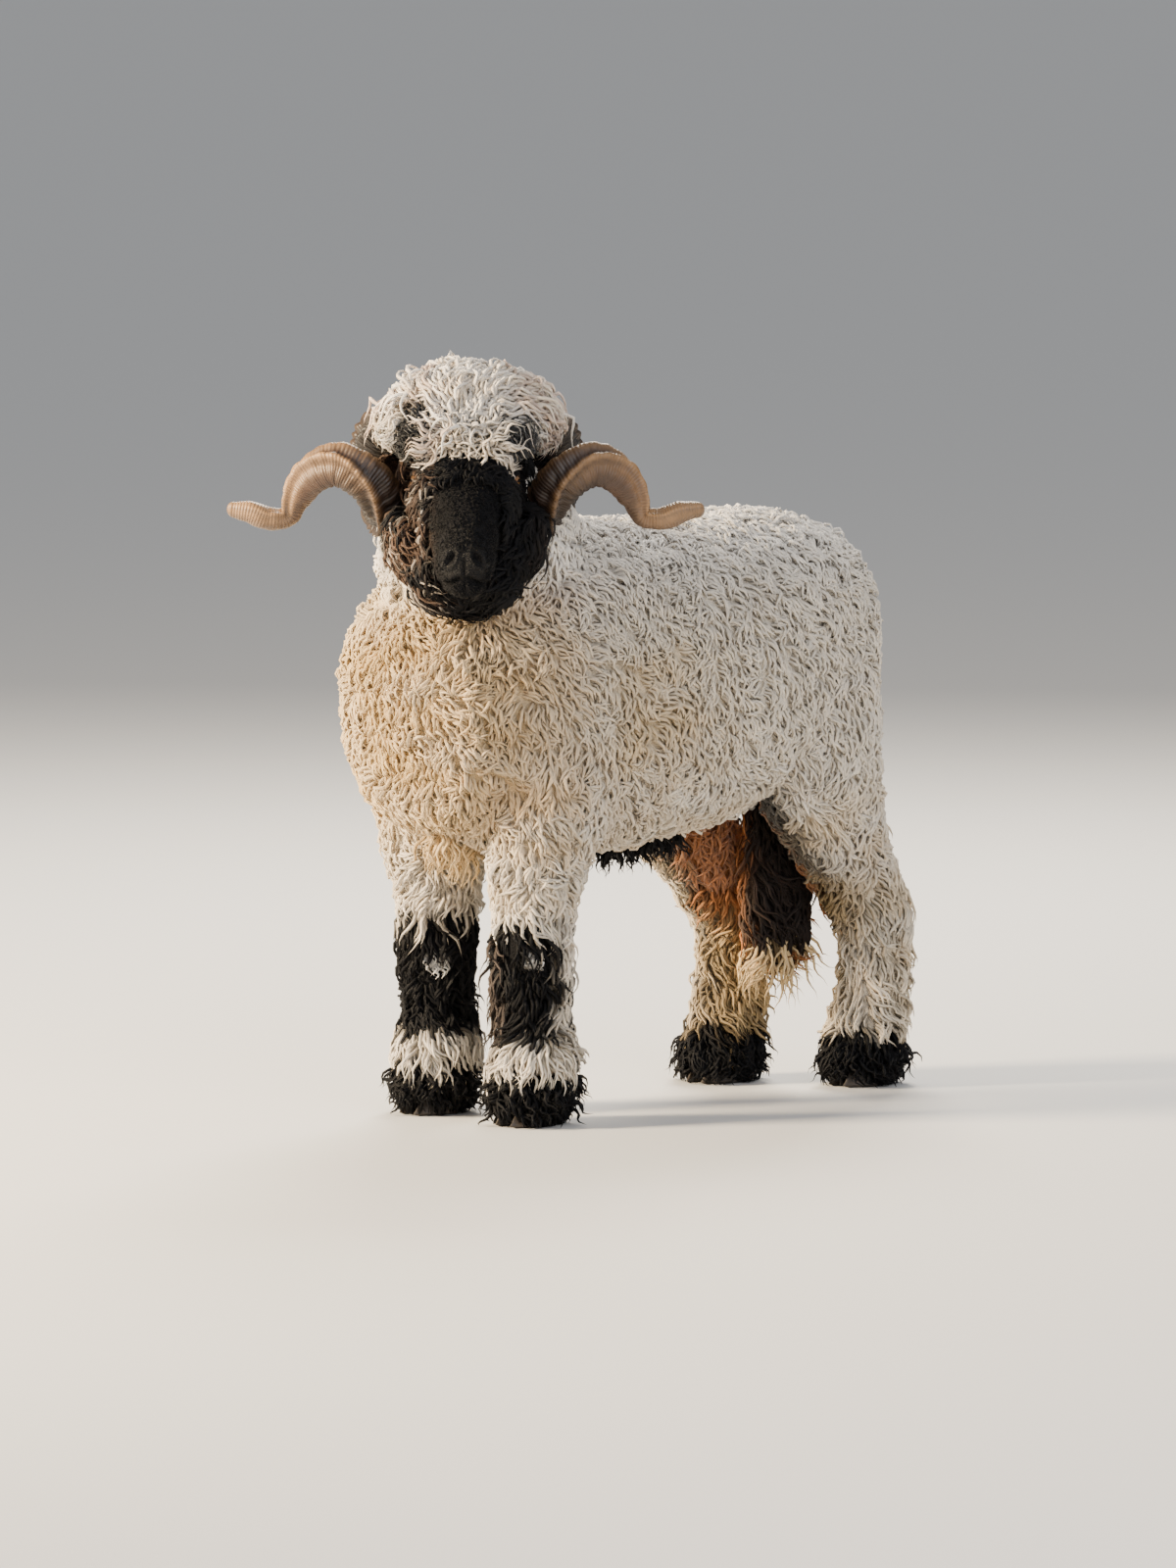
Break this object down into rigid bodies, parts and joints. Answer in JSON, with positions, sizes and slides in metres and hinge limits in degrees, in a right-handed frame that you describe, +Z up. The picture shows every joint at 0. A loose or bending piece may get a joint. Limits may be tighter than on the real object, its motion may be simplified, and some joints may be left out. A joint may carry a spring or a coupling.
{
  "type": "valais blacknose sheep",
  "caption": "Standing horned ram with curly pale fleece, black woolly face, knees and feet, head turned to its left; still life-size model.",
  "frame": {"origin": "bottom centre of the whole animal's box, on the floor under the soles", "axes": "+Z up, the ram faces -Y with its left side towards +X; its head is turned about 46 degrees towards +X"},
  "size_m": [0.5136, 1.0384, 1.0044],
  "materials": {
    "fleece": "matt, pale cream to grey-beige wool in small curls",
    "topknot_wool": "matt, cream-white wavy locks",
    "dark_wool": "matt black-brown curly wool",
    "brown_wool": "matt red-brown to black long wool",
    "horn": "satin ribbed horn, darker at the root, pale tan towards the tip",
    "hoof": "dull dark hoof horn",
    "eye": "wet glossy amber-brown with a level dark pupil"
  },
  "bodies": {
    "root": {"torso": "fleece", "neck": "fleece", "head": "dark_wool", "topknot": "topknot_wool", "tail": "fleece", "scrotum": "brown_wool", "ear_left": "dark_wool", "ear_right": "dark_wool", "eye_left": "eye", "eye_right": "eye", "horn_left": "horn", "horn_right": "horn", "leg_front_left": "fleece", "shank_front_left": "dark_wool", "foot_front_left": "dark_wool", "hoof_front_left_outer": "hoof", "hoof_front_left_inner": "hoof", "leg_front_right": "fleece", "shank_front_right": "dark_wool", "foot_front_right": "dark_wool", "hoof_front_right_outer": "hoof", "hoof_front_right_inner": "hoof", "leg_hind_left": "fleece", "shank_hind_left": "dark_wool", "foot_hind_left": "dark_wool", "hoof_hind_left_outer": "hoof", "hoof_hind_left_inner": "hoof", "leg_hind_right": "fleece", "shank_hind_right": "dark_wool", "foot_hind_right": "dark_wool", "hoof_hind_right_outer": "hoof", "hoof_hind_right_inner": "hoof"}
  },
  "joints": []
}
